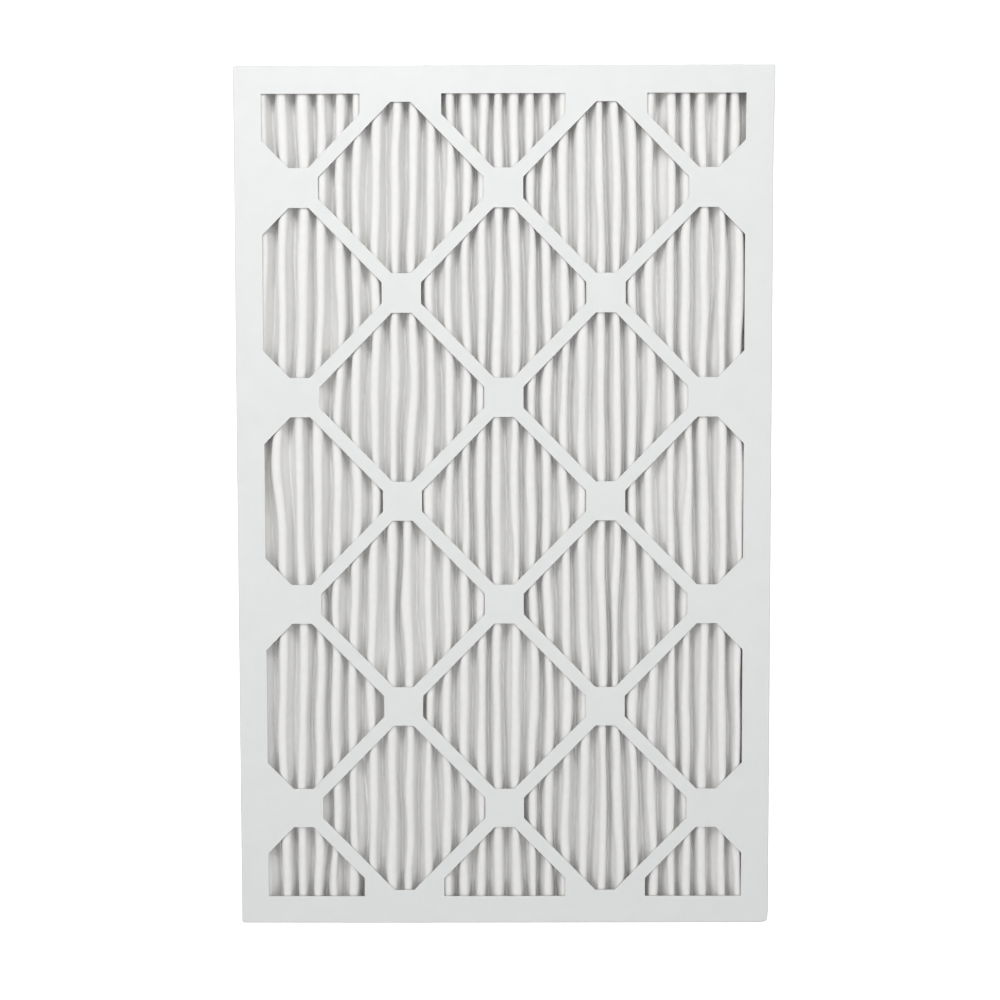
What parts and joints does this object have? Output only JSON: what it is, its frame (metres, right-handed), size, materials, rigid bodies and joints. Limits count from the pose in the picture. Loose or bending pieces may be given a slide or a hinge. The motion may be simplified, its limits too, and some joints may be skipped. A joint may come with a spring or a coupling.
{
  "type": "pleated panel air filter",
  "caption": "Flat rectangular air filter: a pleated white media sheet on a wire grid, sealed inside nested paperboard trays with a diamond lattice die-cut in each face.",
  "frame": {"origin": "middle of the rear (air-leaving) face's outline, at the height of the surface the panel lies on", "axes": "+Z from the rear face to the front (air-entering) face, +Y along the pleats and the long side, +X across the pleats"},
  "size_m": [0.3906, 0.6286, 0.0191],
  "materials": {
    "paperboard": "clay-coated white board, matte",
    "media": "soft white nonwoven, matte",
    "grid": "galvanised",
    "glue": "cured hot-melt glue, satin"
  },
  "bodies": {
    "root": {"front_frame": "paperboard", "rear_frame": "paperboard", "pleated_media": "media", "support_grid": "grid", "side_bead_left": "glue", "side_bead_right": "glue", "end_bead_near": "glue", "end_bead_far": "glue"}
  },
  "joints": []
}
